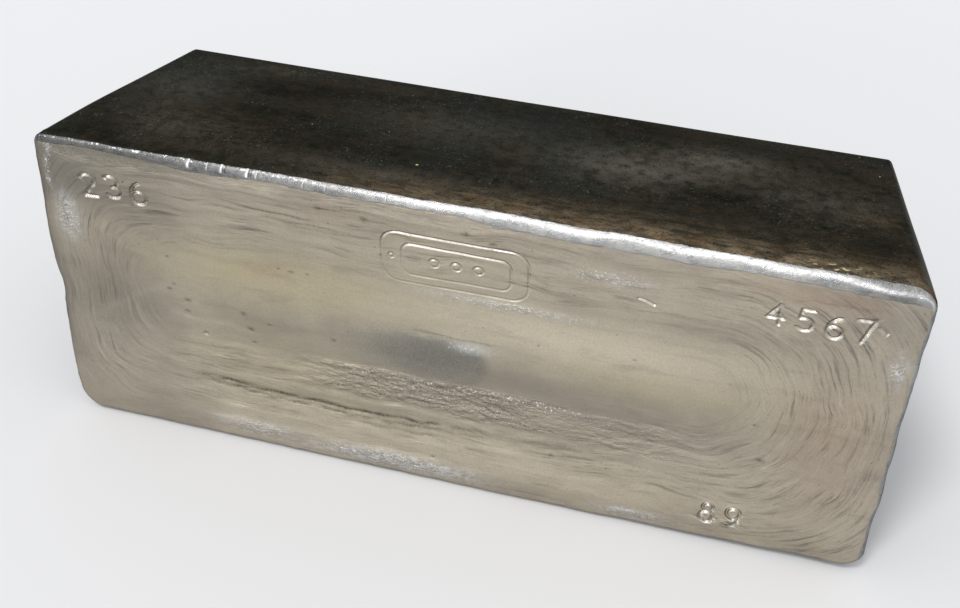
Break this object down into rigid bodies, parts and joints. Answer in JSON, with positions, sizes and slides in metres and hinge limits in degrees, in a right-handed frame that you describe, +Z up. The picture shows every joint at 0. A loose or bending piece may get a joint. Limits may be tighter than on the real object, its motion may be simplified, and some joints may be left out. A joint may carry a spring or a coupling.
{
  "type": "silver bar",
  "caption": "Cast silver bullion bar with tapered sides and a sunken cast face of freezing rings, lying on a long side.",
  "frame": {"origin": "middle of the box round the bar, on the floor that it lies on", "axes": "+X along the bar's length, +Y from the cast face to the base, +Z up from the long side that it lies on"},
  "size_m": [0.2986, 0.107, 0.1219],
  "materials": {
    "cast_silver": "satin"
  },
  "bodies": {
    "root": {"silver_bar": "cast_silver"}
  },
  "joints": []
}
